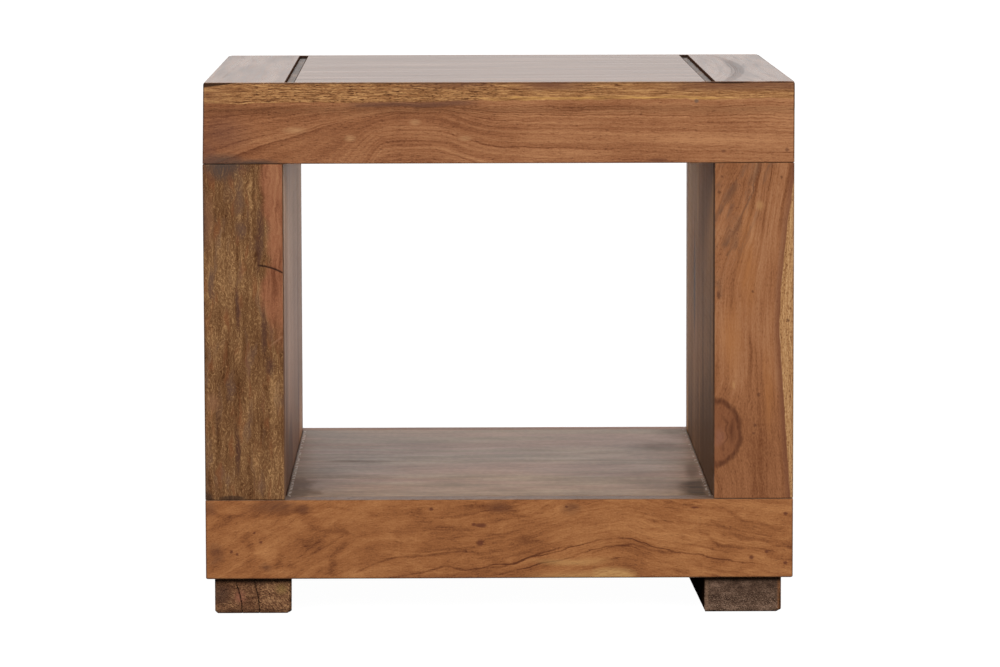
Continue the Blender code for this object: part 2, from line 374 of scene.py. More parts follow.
def shade_edges(colour, strength, reach=1.4, shade_colour=(62, 38, 26)):
    """Paint shade along a timber's eased edges, which turn from the light and mirror darker things."""
    return over((1 - noted(colour, "arris").fade(.1, reach)) * strength, colour, display(*shade_colour))


def close_timber(material, colour, roughness, height, gloss=.12, relief=.00012):
    """Finish a timber material with its colour, its sheen and the relief of its grain."""
    tree = material.node_tree
    shader = tree.nodes["Principled BSDF"]
    shader.inputs["Specular IOR Level"].default_value = gloss
    bump = height.node("ShaderNodeBump", {"Height": height, "Strength": 1, "Distance": relief})
    tree.links.new(colour.socket, shader.inputs["Base Color"])
    tree.links.new(roughness.socket, shader.inputs["Roughness"])
    tree.links.new(bump.socket, shader.inputs["Normal"])
    return material


def bottom_rail_timber():
    """Flame-figured board, cloudy at the left; right of its middle a thin line arches over a sap patch."""
    material, x, y, z = open_timber("bottom rail timber")
    inward = y + half_depth
    crown = 108
    left = (crown - x).most(0) / 85
    right = ((x - crown).most(0) ** 2 + 100) ** .5 - 10
    far_left = ((-100 - x).most(0) ** 2 + 400) ** .5 - 20
    drop = 29 * (1 - (left * left).decay()) + .17 * right + 6.5 * (1 - (right / 14).decay()) + .6 * far_left
    curl = uneven(x / 40, z / 15, inward / 15)
    wave = uneven(x / 12, z / 5, inward / 5)
    ring = z + drop + .25 * inward + 2.2 * curl + .8 * wave
    broad = uneven(x / 300, ring / 10, inward / 60)
    narrow = uneven(x / 70, ring / 2.6, inward / 30)
    fibre = uneven(x / 6, (z + .5 * drop) / .9, inward / .9, 1)
    grit = uneven(x / 1.6, z / 1.1, inward / 1.1, 1)
    patch = uneven(x / 36, ring / 5, inward / 30)
    flame = .25 + .75 * x.fade(-120, -20)
    line = seasons(ring, 6.2, 1) * patch.fade(-.1, .8) * flame
    contour = uneven((x + 12 * curl) / 60, (z + 7 * curl) / 21, inward / 40, .5) + .03 * wave
    wisp = (1 - abs(contour).fade(.0, .05)) * patch.fade(-.2, .7)
    blotch = uneven((x + 6 * curl) / 15, (z + 3 * curl) / 8, inward / 15)
    flames = strokes(x + 1.6 * curl + .5 * wave, z + 1.2 * curl + .4 * wave, (
        ((-156.3, 54), (-145, 60), (-133.4, 67.7)),
        ((-122.3, 36.1), (-105.3, 43.8), (-88.3, 48.9), (-67, 50.6), (-28.8, 54)),
        ((-92.6, 31.8), (-67, 35.2), (-45.8, 42), (-28.8, 37.8), (1, 40.3), (13.7, 44.6)),
        ((5, 41.2), (15.5, 44.6), (35, 51.9), (62, 59.4)),
        ((79, 51.9), (98.8, 57.5), (113.2, 59.2), (128.5, 54), (154, 51.9)),
    ), .1, 1.5) * (.55 + .5 * patch.fade(-.6, .6))
    veins = strokes(x + 1.2 * curl + .8 * wave, z + .9 * curl + .6 * wave, (
        ((141.9, 95.8), (166.2, 91.5), (192.9, 89.1), (209.9, 79.4), (226.9, 76.3), (239.1, 72)),
        ((130, 79.2), (146, 78.6)),
        ((124.9, 72.6), (144.3, 72), (160.1, 69.5), (175.9, 67.7), (185.6, 58.6), (207.5, 55.5)),
        ((180.8, 79.4), (200.2, 67.1), (209.9, 63.5), (224.5, 62.9), (236.6, 57.4), (247.6, 56.7)),
    ), .2, 2.6) * (.35 + .65 * blotch.fade(-.5, .5))
    licks = strokes(x + 4 * curl + wave, z + 3 * curl + wave, (
        ((-172.5, 88.2), (-156.3, 74.5), (-130.8, 70.3)),
        ((-216.7, 66), (-212.5, 57.4), (-214.2, 44.6)),
        ((-188.7, 42.9), (-184.4, 54), (-169.1, 61.7), (-153.8, 58.3)),
        ((-143.6, 35.2), (-141.9, 48), (-133.4, 59.2)),
        ((-241.4, 84.8), (-209.9, 83.1), (-181.9, 87.4)),
    ), .4, 6)
    main = ring.near(65.2, .2, .9) * x.fade(-45, 10) * (1 - x.fade(190, 240)) * (.7 + .5 * patch)
    outer = ring.near(57.5, .2, .9) * x.between(0, 150, 40) * patch.fade(-.6, .5)
    dash = pores(x, ring, inward, 3, 5, 1)
    cloud = uneven((x + 14 * curl) / 46, (z + 7 * curl) / 16, inward / 35)
    tone = .3 * broad + .3 * narrow * (.4 + .6 * flame) + .25 * fibre + .25 * grit
    tone = tone + .5 * cloud + .18 * blotch
    tone = tone - (.6 + .4 * x.fade(20, 90)) * line - 1.4 * main - outer
    tone = tone - .75 * flames - .42 * licks - .6 * veins
    tone = tone - .25 * dash - .3 * wisp - .25 * x.between(-50, 25, 40) + .2

    sap = oval(x, z, (96, 33), (26, 9), .6) * (.85 + .3 * narrow + .4 * fibre)
    sap = sap.most(.5 * ovals(x, z + 2 * curl, ((66, 31, 58, 8), (60, 45, 46, 5)), .9))
    knots = (
        (-228.1, 54.2, 2.4, 2.2), (-223.2, 51.8, 2, 1.8), (-203.1, 62.3, 2, 1.8), (-208.4, 70.3, 1.8, 1.5),
        (227.5, 52.6, 2.3, 2), (214.5, 47.6, 2.8, 2.4), (243.6, 43.1, 2.3, 2), (243.4, 85.4, 2.6, 2.2),
        (166.1, 90.9, 5.5, 1.2), (57, 91.7, 2, 1.6), (-58, 90.4, 2.6, 2.2), (-16.4, 61.3, 4.2, 3.6),
        (-15.5, 76.1, 7.5, 2.6), (-22, 77, 2.5, 2),
    )
    knot = ovals(x + .7 * fibre, z + .5 * curl, knots)
    stains = ((-199, 40.6, 8, 5.5), (-190, 93, 34, 9), (-248, 92, 12, 12),
              (-167, 91, 9, 7), (0, 92, 16, 9), (60, 90, 12, 8), (-242, 52, 10, 16))
    stain = ovals(x + 3 * curl, z + 2 * curl, stains, .9)
    # Painted sheen: the rail's top face, the ledge, takes a greyer tint that stands for the grey sheen it
    # shows at a grazing angle.
    ledge = z.fade(97.9, 98.35)
    narrow_face_tint = tinted(.5 * narrow + .4 * fibre + .4 * cloud, (90, 66, 50), (122, 92, 73), (156, 122, 98))
    colour = layered(
        tinted(tone, (96, 53, 31), (147, 93, 55), (178, 122, 76)),
        (sap, 186, 142, 90),
        (knot * .85, 96, 52, 36),
        (stain * (.6 + .3 * narrow) * (1 - inward.fade(1, 6)), 92, 56, 40),
    )
    # Painted shade along the eased edges, weaker at the top edge; the ledge takes its tint of painted sheen.
    colour = over(ledge, shade_edges(colour, .75 - .45 * z.fade(95, 97.5), 1.5, (66, 38, 26)), narrow_face_tint)
    return close_timber(material, colour, .42 + .08 * fibre, tone - dash)


lay_boards(
    "front_bottom_rail_board", ["front_bottom_rail"], bottom_rail_timber(),
    ease_low=(ROUND, ROUND, ROUND), ease_high=(ROUND, JOINT, SOFT))

# Front posts
# Two upright boards between the rails, tenoned into both, with their front faces flush with the rails.
# The left one is olive-brown and fuzzy with a red stripe, the right one amber with a knot at its edge.
CRISP = .0004


def left_post_timber():
    """Olive-brown wood full of short curly golden flecks, with a redder stripe down its inner edge."""
    material, x, y, z = open_timber("left post timber")
    inward = y + half_depth
    curl_x = uneven(z / 16, x / 9, inward / 12)
    curl_z = uneven(z / 14 + 40, x / 11, inward / 12)
    swirl = oval(x, z, (-192, 196), (18, 34), .9)
    across = x + 2.4 * curl_x + .16 * swirl * (z - 190)
    along = z + 4.5 * curl_z - .16 * swirl * (x + 192)
    fleck = uneven(along / 2.9, across / .85, inward / 1.2, 2)
    fine = uneven(along / 1.5, across / .6, inward / .8, 1)
    fibre = uneven(z / 30, across / 2.6, inward / 3, 1)
    broad = uneven(z / 110, (x + 1.2 * curl_x) / 6.5, inward / 40)
    cloud = uneven(z / 45, x / 18, inward / 40)
    gold = fleck.fade(.0, .5)
    glow = ovals(x, z, ((-211, 360, 8, 30), (-203, 184, 12, 18), (-236, 300, 12, 60)), .9)
    dust = uneven(z / .9, x / .8, inward / .9, 1)
    tone = .42 * fleck + .3 * gold + .3 * fine + .3 * dust + .45 * broad
    tone = tone + .4 * cloud + .3 * fibre + .3 * glow - .22
    rusty = uneven(z / 26, (x + 2 * curl_x) / 6, inward / 20).fade(.1, .9)
    misty = uneven(z / 34 + 9, (x + 2 * curl_x) / 9, inward / 20).fade(.15, .95)
    pinkish = ovals(x + curl_x, z, ((-246, 336, 8, 34), (-243, 182, 9, 12)), .9)
    olive = layered(
        tinted(tone, (76, 45, 23), (119, 83, 53), (172, 132, 88)),
        (rusty * .5, 128, 76, 46),
        (misty * .45, 106, 80, 66),
        (pinkish * .5, 140, 98, 72),
    )
    red_tone = .45 * fibre + .4 * broad + .35 * fine + .5 * uneven(z / 30, x / 14, inward / 20)
    red = tinted(red_tone, (100, 56, 36), (144, 92, 64), (170, 119, 84))
    edge = x - 5 * z.between(302, 330, 22) + 3 * uneven(z / 24, 4, inward / 12) + .8 * fine
    heart = edge.fade(-203.5, -196.5) * (z + 5 * fleck + 10 * curl_x + 1.2 * (x + 188)).fade(222, 262)
    streaks = ((-202, 328, 5, 32), (-203.5, 308, 3.2, 22), (-199, 243, 3.8, 32),
               (-194, 213, 6, 12), (-221, 262, 2.5, 30),
               (-231, 388, 28, 26), (-250, 340, 5, 40), (-222, 140, 3, 28))
    stain = ovals(x + 1.2 * curl_x, z + 3 * curl_z, streaks, .85)
    face = 1 - inward.fade(1, 6)
    smears = ((-219.5, 357, 7.5, 21), (-218.5, 328, 6, 13), (-243, 283, 5, 18),
              (-227, 195, 5, 20))
    mauve = ovals(x + 2.5 * curl_x, z + 6 * curl_z, smears, .9)
    scratch = strokes(x, z, (((-193.5, 230.5), (-184, 238)),), .2, 1.4)
    greyed = oval(x + 2 * curl_x, z + 3 * curl_z, (-233, 386), (26, 19), .9)
    foot = ovals(x, z, ((-227, 100, 14, 3.2), (-250, 99, 9, 9)), .5)
    along_crack = x + 204.7
    crack = z - 298.8 + .05 * along_crack + .011 * along_crack * along_crack + .3 * fine
    crack = (1 - abs(crack).fade(.25, 1.3)) * along_crack.fade(-1, 4)
    jamb = x.fade(-183.05, -182.7)
    narrow_face_tint = tinted(.5 * fibre + .5 * broad, (98, 68, 48), (126, 92, 68), (150, 118, 92))
    colour = layered(
        over(heart, olive, red),
        (stain * face * (.82 - .3 * gold), 78, 50, 40),
        (mauve * face * (.75 - .25 * gold + .15 * fine), 97, 71, 58),
        (scratch * (.4 + .2 * fine), 160, 116, 86),
        (greyed * face * (.9 - .3 * gold), 82, 68, 60),
        (foot * face * .75, 52, 36, 28),
        (crack * .9, 44, 25, 18),
    )
    # Painted shade along the eased edges.
    colour = over(jamb, shade_edges(colour, .6, 1.5, (60, 38, 26)), narrow_face_tint)
    return close_timber(material, colour, .46 + .06 * fleck + .4 * jamb, tone - 2 * crack)


def right_post_timber():
    """Amber wood with smoky streaks, a pale sapwood edge and half a knot where the board was sawn."""
    material, x, y, z = open_timber("right post timber")
    inward = y + half_depth
    above = (z - 246).most(0) / 114
    below = (246 - z).most(0) / 147
    bow = 10.4 * above ** 1.6 + 9.8 * below ** 1.1
    edge = 237.6 + bow + .6 * uneven(z / 18, 2, inward / 9)
    slant = (((z - 270).most(0) ** 2 + 900) ** .5 - 30) * (1 - x.fade(200, 238))
    wobble = uneven(z / 11, x / 11, inward / 9)
    knot_wide = (x - 183) / 22
    knot_tall = (z - 155) / 28
    knot = (knot_wide * knot_wide + knot_tall * knot_tall) ** .5 + .07 * wobble
    push = (1.7 - knot).most(0)
    ring = x - bow * x.fade(195, 240) - .42 * slant + 8 * push + 1.4 * uneven(z / 45, x / 14, inward / 14)
    ring = ring + 1.8 * wobble * z.fade(270, 340) * (1 - x.fade(212, 230))
    broad = uneven(z / 300, ring / 8, inward / 40)
    narrow = uneven(z / 80, ring / 2.4, inward / 20)
    fibre = uneven(z / 10, ring / .9, inward / .9, 1)
    grain = uneven(z / 2.2, x / 1.1, inward / 1.1, 1)
    patch = uneven(z / 38, ring / 5, inward / 30)
    line = seasons(ring, 7.5, 4) * patch.fade(-.1, .8)
    dash = pores(z, ring, inward, 7, 5, 1.1, .4)
    cloud = uneven(z / 55 + 5, x / 26, inward / 30)
    fold = uneven(z / 160, ring / 6, inward / 30) * x.fade(200, 218) * (.3 + .7 * z.fade(220, 300))
    calm = .6 + .4 * z.fade(130, 220)
    tone = .35 * broad * calm + .3 * narrow * calm + .2 * fibre + .25 * grain + .4 * cloud * calm + .6 * fold
    tone = tone - .4 * line * z.fade(120, 230) - .3 * dash
    tone = tone + .1 - .4 * (1 - z.fade(150, 230)) - .2 * z.fade(330, 380)
    amber = ovals(x + 4 * cloud, z, ((210, 300, 14, 70), (198, 235, 12, 50),
                                     (228, 190, 8, 50)), .95)
    smoke = uneven((z + 2.2 * x) / 44, (x - .42 * z) / 6.5, inward / 20)
    upper = z.between(292, 390, 14) * (1 - (x - .40 * (z - 300)).fade(199, 207))
    smudged = (x + 2.4 * wobble + .8 * grain, z + 3 * wobble + .8 * grain)
    smears = strokes(*smudged, (
        ((219.5, 384), (214.4, 370.3)),
        ((200.8, 366), (194, 354.1)),
        ((195.7, 326.7), (192.3, 316.4)),
        ((202.5, 335.3), (200, 325), (199.1, 314.7)),
        ((185.5, 282), (187, 274)),
    ), .5, 5.5)
    hairs = strokes(*smudged, (
        ((217, 378), (213.6, 356.6), (208.5, 347.2), (202.5, 335.3), (200, 325), (199.1, 314.7),
         (192.3, 305.3)),
        ((203, 372), (194, 354.1), (187, 342)),
    ), .1, 1.5)
    smears = (smears * .45).most(hairs * .5) * (.7 + .5 * patch.fade(-.6, .6))
    freckled = ovals(x, z, ((185, 300, 10, 62), (200, 332, 12, 40), (206, 366, 22, 30)), .9)
    speck = uneven(z / 2.2, x / 1.6, inward / 1.6, 1).fade(.45, .8)
    sap_tone = .5 * fibre + .4 * narrow + .45 * grain - .5 * dash - .9 * speck + .12
    sap = tinted(sap_tone, (118, 75, 46), (168, 123, 80), (202, 160, 114))
    shadow = (1 - (edge - x).fade(.8, 7)) * (.62 + .2 * narrow)
    colour = layered(
        tinted(tone, (104, 59, 34), (150, 99, 65), (176, 127, 90)),
        (amber * (.45 + .3 * narrow), 164, 106, 60),
        ((smoke + .3 * grain).fade(-.1, .9) * upper * .55, 104, 74, 58),
        (smears, 88, 63, 50),
        (freckled * speck * .65, 100, 54, 38),
        (shadow, 108, 66, 48),
    )
    inside = 1 - knot.fade(.86, 1.06)
    turns = seasons(knot * 22 + 1.6 * wobble, 5, 9) * inside * x.fade(186, 194)
    rim = (1 - abs(knot - .98).fade(.02, .15)) * (.8 + .35 * narrow)
    core = oval(x + 2 * wobble, z, (198, 157), (5.5, 17), .9) * (.7 + .5 * narrow)
    pith = oval(x + 2 * wobble, z + 3 * wobble, (187, 152), (7, 12), .9)
    pins = ((215, 275.3, 1.6, 2.2), (220.3, 187.3, 1.9, 2.6), (217, 161.6, 1.7, 2.4), (244.7, 250.5, 1.8, 2),
            (188.5, 373, 1.8, 2), (186.4, 359.5, 1.8, 2.2), (216, 154.5, 1.6, 2), (186, 272, 2.4, 4.5),
            (239, 372, 1.6, 2))
    pale = ovals(x, z, ((220.6, 348.4, 4.5, 6), (199, 195.9, 1.8, 4.5)), .8)
    jamb = 1 - x.fade(182.7, 183.05)
    narrow_face_tint = tinted(.5 * fibre + .5 * narrow, (66, 44, 31), (92, 64, 46), (120, 90, 68))
    colour = layered(
        over((x - edge).fade(-.4, .6), colour, sap),
        (inside * .6, 122, 75, 50),
        (pith * .5, 146, 98, 78),
        (rim.most(core).most(turns * .8) * .86, 80, 44, 29),
        (ovals(x + .9 * grain, z + .8 * wobble, pins) * .65, 86, 50, 35),
        (pale * .5, 184, 138, 90),
    )
    # Painted shade along the eased edges.
    colour = over(jamb, shade_edges(colour, .55, 1.5, (70, 42, 29)), narrow_face_tint)
    return close_timber(material, colour, .42 + .08 * fibre + .5 * jamb, tone - dash)


lay_boards(
    "front_left_post_board", ["front_left_post"], left_post_timber(),
    ease_low=(ROUND, ROUND, JOINT), ease_high=(CRISP, JOINT, JOINT))
lay_boards(
    "front_right_post_board", ["front_right_post"], right_post_timber(),
    ease_low=(CRISP, ROUND, JOINT), ease_high=(ROUND, JOINT, JOINT))

# Front top rail
# The table's show board: golden sapwood in a strip along its upper edge, and arched heartwood below it.
# It runs over the posts' ends. Its top edge is rebated for the table top, with a thin lip left in front.


def top_rail_timber():
    """Heartwood in one long arch under a strip of sapwood that is full of pores."""
    material, x, y, z = open_timber("top rail timber")
    inward = y + half_depth
    left = (-84 - x).most(0) / 136
    right = (x + 56).most(0) / 34
    drop = 35 * left ** 1.4 + 13 * (1 - (right * right).decay()) + .02 * 34 * right
    edge = 437.3 + .0075 * x + .9 * uneven(x / 40, 7, inward / 20) + .5 * uneven(x / 9, 3, inward / 9)
    level = z + .25 * inward + .9 * uneven(x / 50, z / 12, inward / 14)
    level = level + .35 * uneven(x / 13, z / 4, inward / 4)
    fan = ((edge - level) / (drop + 8.5)).least(1)
    steep = (-97 - x).most(0) / 30
    nested = (level + drop - 428.8).least(0) / (1 + 1.6 * (steep ** 1.5).least(3))
    ring = 428.8 + 40 * (1 - fan) + nested
    broad = uneven(x / 400, ring / 8, inward / 60)
    narrow = uneven(x / 120, ring / 2.2, inward / 30)
    fibre = uneven(x / 8, level / .9, inward / .9, 1)
    grit = uneven(x / 1.8, level / 1, inward / 1.1, 1)
    patch = uneven(x / 60, ring / 5, inward / 30)
    line = seasons(ring, 4.3, 7) * patch.fade(-.7, .6)
    main = ring.near(428.8, .15, .8) * (.6 + .4 * patch) * (1 - .6 * x.near(-50, 10, 60))
    dash = pores(x, level, inward, 11, 5, 1)
    speck = pores(x, level, inward, 31, 2, .9, .3)
    cloud = uneven(x / 70, z / 25, inward / 40)
    bold = .6 + .4 * x.fade(-150, -70) - .35 * x.fade(20, 120)
    tone = .4 * broad + .4 * narrow + .3 * fibre + .25 * grit + .3 * cloud - bold * line - bold * main
    tone = tone - .45 * dash - .35 * speck + .25 + .0014 * x
    heart = tinted(tone, (98, 54, 33), (144, 93, 61), (176, 124, 85))
    crowd = 1 - (x + 30 * cloud).fade(-40, 60)
    crowd = crowd.most(.8 * oval(x, z, (82, 447), (34, 9), .9))
    fleck = uneven(x / 8, level / .8, inward / 2, 1.5).fade(.2, .7)
    fleck = fleck.most(.8 * uneven(x / 3.6, level / .65 + 9, inward / 2, 1).fade(.25, .7))
    fleck = fleck * (.3 + .7 * crowd) * (.35 + .65 * x.fade(-236, -185))
    gold = uneven(x / 26, level / 1.4, inward / 6)
    sap_tone = .7 * gold + .4 * fibre + .2 * grit - 1.35 * fleck + .2
    sap = tinted(sap_tone, (82, 47, 28), (149, 102, 63), (198, 150, 98))
    bright = (edge - level).near(-1.6, .3, 1.6) * (x + 20 * gold).fade(-20, 20) * (1 - x.fade(170, 205))
    sap = over(bright * (.5 + .5 * gold), sap, display(200, 152, 88))
    rosy = (z + 1.5 * gold).fade(444.5, 449) * ovals(x, z, ((45, 453, 46, 30), (-40, 455, 60, 12)), .9)
    rosy = rosy.most((z + 1.5 * gold).fade(443, 449) * x.fade(100, 190))
    rosy = rosy.most(.35 * (1 - x.fade(-246, -208)) * (1 - .4 * gold))
    sap = over(rosy * .7, sap, display(112, 73, 55))
    under = (edge - level).near(2, .6, 3.4) * x.between(-110, -35, 25)
    pale = ovals(x, z, ((-125.4, 406.1, 7, 4.5), (-70.4, 419.5, 7, 4), (-28.2, 405.9, 8.5, 3.5),
                        (-172, 413, 14, 4)), .9)
    spot = oval(x, z, (167, 436.9), (2.6, 2.2), .6)
    dark = ovals(x + .6 * fibre, z, ((190, 394.5, 2.8, 1.8), (243.5, 395.5, 2.4, 2.6), (134, 387, 12, 2.4)))
    face = 1 - inward.fade(1, 6)
    stain = ovals(x, z + 2 * cloud + .6 * fibre, ((-234, 384, 30, 11), (-206, 383, 34, 7)), .6)
    purple = ovals(x, z + 2 * cloud, ((-232, 410, 34, 26), (-245, 395, 16, 20)), 1)
    # Painted shade: a dark, dull band along the rail's top front edge, widening into a wedge at the left
    # end, stands for the rounded arris turning from the light and mirroring darker things.
    top_arris_shade = ovals(x, z, ((194, 453.4, 24, 2.4), (236, 453.8, 16, 1.6)), .4)
    wedge = (z - .13 * (x + 222) + .3 * fibre).fade(452.2, 453.2) * (1 - x.fade(-228, -218))
    top_arris_shade = top_arris_shade.most(wedge)
    colour = layered(
        over(1 - (edge - level).fade(-.6, .6), heart, sap),
        (under * .6, 96, 66, 54),
        (pale * (.65 + .2 * fibre), 178, 132, 92),
        (spot * .7, 104, 84, 72),
        (dark * .65, 98, 58, 42),
        (stain * face * (.75 + .2 * narrow), 78, 63, 55),
        (purple * face * .45, 104, 68, 56),
    )
    # Painted shade along the eased edges, weaker along the lower edge.
    edged = shade_edges(colour, .3 + .5 * z.fade(386, 389), 1.6, (56, 34, 24))
    colour = over(top_arris_shade * face * .9, edged, display(44, 27, 20))
    return close_timber(material, colour, .42 + .08 * fibre + .4 * top_arris_shade, tone - dash - fleck)


LIP = .008
rail_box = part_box("front_top_rail")
rail_thickness = rail_box[1].y - rail_box[0].y
rebate_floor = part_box("top_board_1")[0].z - GLUE_LINE
CUT_SPACING = .004
SLIVER = .00005
WORN_END = .0012


def rebated(corner):
    """Thin a top rail to its lip above the floor that carries the top, and lean its left end in."""
    if corner.x < 0:
        lean = WORN_END * (corner.z - rail_box[0].z) / (rail_box[1].z - rail_box[0].z)
        corner = Vector((corner.x + lean * corner.x / rail_box[0].x, corner.y, corner.z))
    if corner.z < rebate_floor - CUT_SPACING:
        return corner
    if corner.z < rebate_floor:
        return Vector((corner.x, corner.y, rebate_floor))
    face = math.copysign(cad_box[1].y, corner.y)
    height = corner.z if corner.z > rebate_floor + CUT_SPACING / 2 else rebate_floor + SLIVER
    return Vector((corner.x, face + (corner.y - face) * LIP / rail_thickness, height))


lay_boards(
    "front_top_rail_board", ["front_top_rail"], top_rail_timber(),
    ease_low=(ROUND, ROUND, SOFT), ease_high=(ROUND, JOINT, ROUND), work=rebated)

# Back frame
# The same two rails and two posts as at the front, joined in the same way, of plainer boards.
# The photograph hides its back, so its figure is that of any flat-sawn board of this wood.


def plain_timber(name, run, seed, dark, middle, light, roughness=.42, gloss=.12):
    """Flat-sawn boards of the same wood; run names the axes along, across and through a board."""
    material, *place = open_timber(name)
    along, across, deep = (place["xyz".index(axis)] for axis in run)
    board = noted(along, "board")
    chance = board.node("ShaderNodeTexWhiteNoise", {"W": board + seed}, 1, noise_dimensions="1D")
    chances = chance.node("ShaderNodeSeparateColor", {0: chance})
    shift, lean, deal = (Reading(output) for output in chances.socket.node.outputs)
    slope = (deal - .5) * .09 * along
    along = along + 311.7 * board + 97.3 * seed
    warp = uneven(along / 110, across / 35, deep / 35)
    side = across * .55 + 30 * (shift - .5) + 4 * warp
    depth = 22 + 30 * lean + slope + .4 * deep
    ring = (side * side + depth * depth) ** .5 + 41.3 * board
    ring = ring + .5 * uneven(along / 14, across / 5, deep / 5)
    broad = uneven(along / 400, ring / 7, deep / 60)
    narrow = uneven(along / 120, ring / 2.2, deep / 40)
    fibre = uneven(along / 10, across / .9, deep / .9, 1)
    patch = uneven(along / 60, ring / 6, deep / 30)
    line = seasons(ring, 6, seed) * patch.fade(-.6, .6)
    dash = pores(along, across, deep, seed, 6, 1.1)
    cloud = uneven(along / 80, across / 45, deep / 45)
    tone = .45 * broad + .35 * narrow + .35 * fibre - .7 * line - .45 * dash
    tone = tone + .4 * cloud + .6 * (deal - .5) + .12
    # Painted shade: the inner face of the back top rail's lip, above the rebate, is drawn dark and dull; the
    # eased edges are darkened as painted shade too.
    recess_shade = place[1].between(241, 242.4, .3) * place[2].fade(432, 433)
    colour = over(recess_shade, shade_edges(tinted(tone, dark, middle, light), .6), display(58, 42, 34))
    return close_timber(material, colour, roughness + .07 * fibre + .4 * recess_shade, tone - dash, gloss)


rail_tones = ((110, 65, 41), (146, 95, 61), (174, 120, 81))
olive_tones = ((88, 56, 34), (121, 85, 56), (154, 116, 80))
amber_tones = ((116, 71, 46), (149, 99, 66), (174, 124, 86))
back_frame = (
    ("back_bottom_rail", "xzy", 21, rail_tones, "rail_timber",
     (ROUND, JOINT, ROUND), (ROUND, ROUND, SOFT), None),
    ("back_top_rail", "xzy", 22, rail_tones, "rail_timber",
     (ROUND, JOINT, SOFT), (ROUND, ROUND, ROUND), rebated),
    ("back_left_post", "zxy", 23, olive_tones, "olive_post_timber",
     (ROUND, JOINT, JOINT), (CRISP, ROUND, JOINT), None),
    ("back_right_post", "zxy", 24, amber_tones, "amber_post_timber",
     (CRISP, JOINT, JOINT), (ROUND, ROUND, JOINT), None),
)
for node, run, seed, tones, slot, ease_low, ease_high, work in back_frame:
    timber = plain_timber(node.replace("_", " ") + " timber", run, seed, *tones)
    lay_boards(node + "_board", [node], timber, ease_low, ease_high, work=work)

# Side walls
# Each wall is hollow: four upright boards on the bay's side and four on the outside, glued edge to edge.
# They hold two battens, a sill and a head, between them, and butt against the frames.
BOARDS = 4
outer_tones = ((106, 65, 42), (140, 92, 61), (168, 117, 80))


def numbered(stem):
    """Name the like boards of a wall, of the shelf or of the top."""
    return [f"{stem}_{number + 1}" for number in range(BOARDS)]


for side, seed in (("left", 31), ("right", 35)):
    outer_nodes = numbered(f"{side}_outer_wall_board")
    outer_timber = plain_timber(f"{side} outer wall timber", "zyx", seed, *outer_tones)
    lay_boards(f"{side}_outer_wall", outer_nodes, outer_timber, (CRISP, JOINT, JOINT),
               (CRISP, JOINT, JOINT))


def inner_wall_timber(name, seed, figure, base, front_shade, top_light, roughness, gloss, tones, pale, dull):
    """Striped upright boards inside the bay, pale and dull in places.

    Painted shade darkens the front ones, and painted light lightens their upper ends, less so at the front;
    all are drawn darker towards the bottom.
    """
    material, x, y, z = open_timber(name)
    board = noted(x, "board")
    chance = board.node("ShaderNodeTexWhiteNoise", {"W": board + seed}, noise_dimensions="1D")
    ring = y + .4 * x + 1.5 * uneven(z / 120, y / 20, x / 20) + 31 * board + 7 * seed
    stripe = uneven(z / 1500, ring / 110, x / 90, 1) + .3 * uneven(z / 600, ring / 40, x / 50)
    narrow = uneven(z / 300, ring / 5, x / 30)
    fibre = uneven(z / 14, ring / .9, x / .9, 1)
    line = seasons(ring, 9, seed)
    dash = pores(z, ring, x, seed, 7, 1.2)
    front = 1 - y.fade(-230, 60)
    low = 1 - z.fade(95, 230)
    tone = figure * (1.5 * stripe + chance - .5) + .3 * narrow + .25 * fibre - .25 * line - .4 * dash
    # Painted shade at the front, painted light at the upper ends, and darker towards the bottom.
    tone = tone + base - front_shade * front - .62 * low + top_light * (1 - front_shade * front) * z.fade(230, 385)
    tone = tone + .9 * ovals(y + 3 * narrow, z, pale, .9) - .95 * ovals(y + 3 * narrow, z, dull, .9)
    # Painted shade along the eased edges.
    colour = shade_edges(tinted(tone, *tones), .5, 1.2, (52, 36, 27))
    return close_timber(material, colour, roughness - .22 * figure * stripe + .1 * low, tone - dash, gloss)


# Each wall: its side; seed, figure, base, painted front shade, painted top light, roughness and gloss; its
# tones; its pale and its dull patches.
inner_walls = (
    ("left", (33, .26, -.06, .1, .95, .54, .28), ((104, 67, 42), (174, 122, 83), (240, 190, 142)),
     ((20, 378, 120, 50), (190, 108, 100, 60)), ((-100, 108, 90, 60),)),
    ("right", (37, .13, -.2, .58, 1, .68, .2), ((88, 56, 26), (184, 128, 74), (246, 206, 160)),
     ((33, 355, 34, 100), (235, 115, 48, 64)), ((90, 255, 28, 84), (228, 350, 60, 90))),
)
for side, habits, tones, pale, dull in inner_walls:
    inner_nodes = numbered(f"{side}_inner_wall_board")
    inner_timber = inner_wall_timber(f"{side} inner wall timber", *habits, tones, pale, dull)
    lay_boards(f"{side}_inner_wall", inner_nodes, inner_timber, (CRISP, JOINT, JOINT),
               (CRISP, JOINT, JOINT))
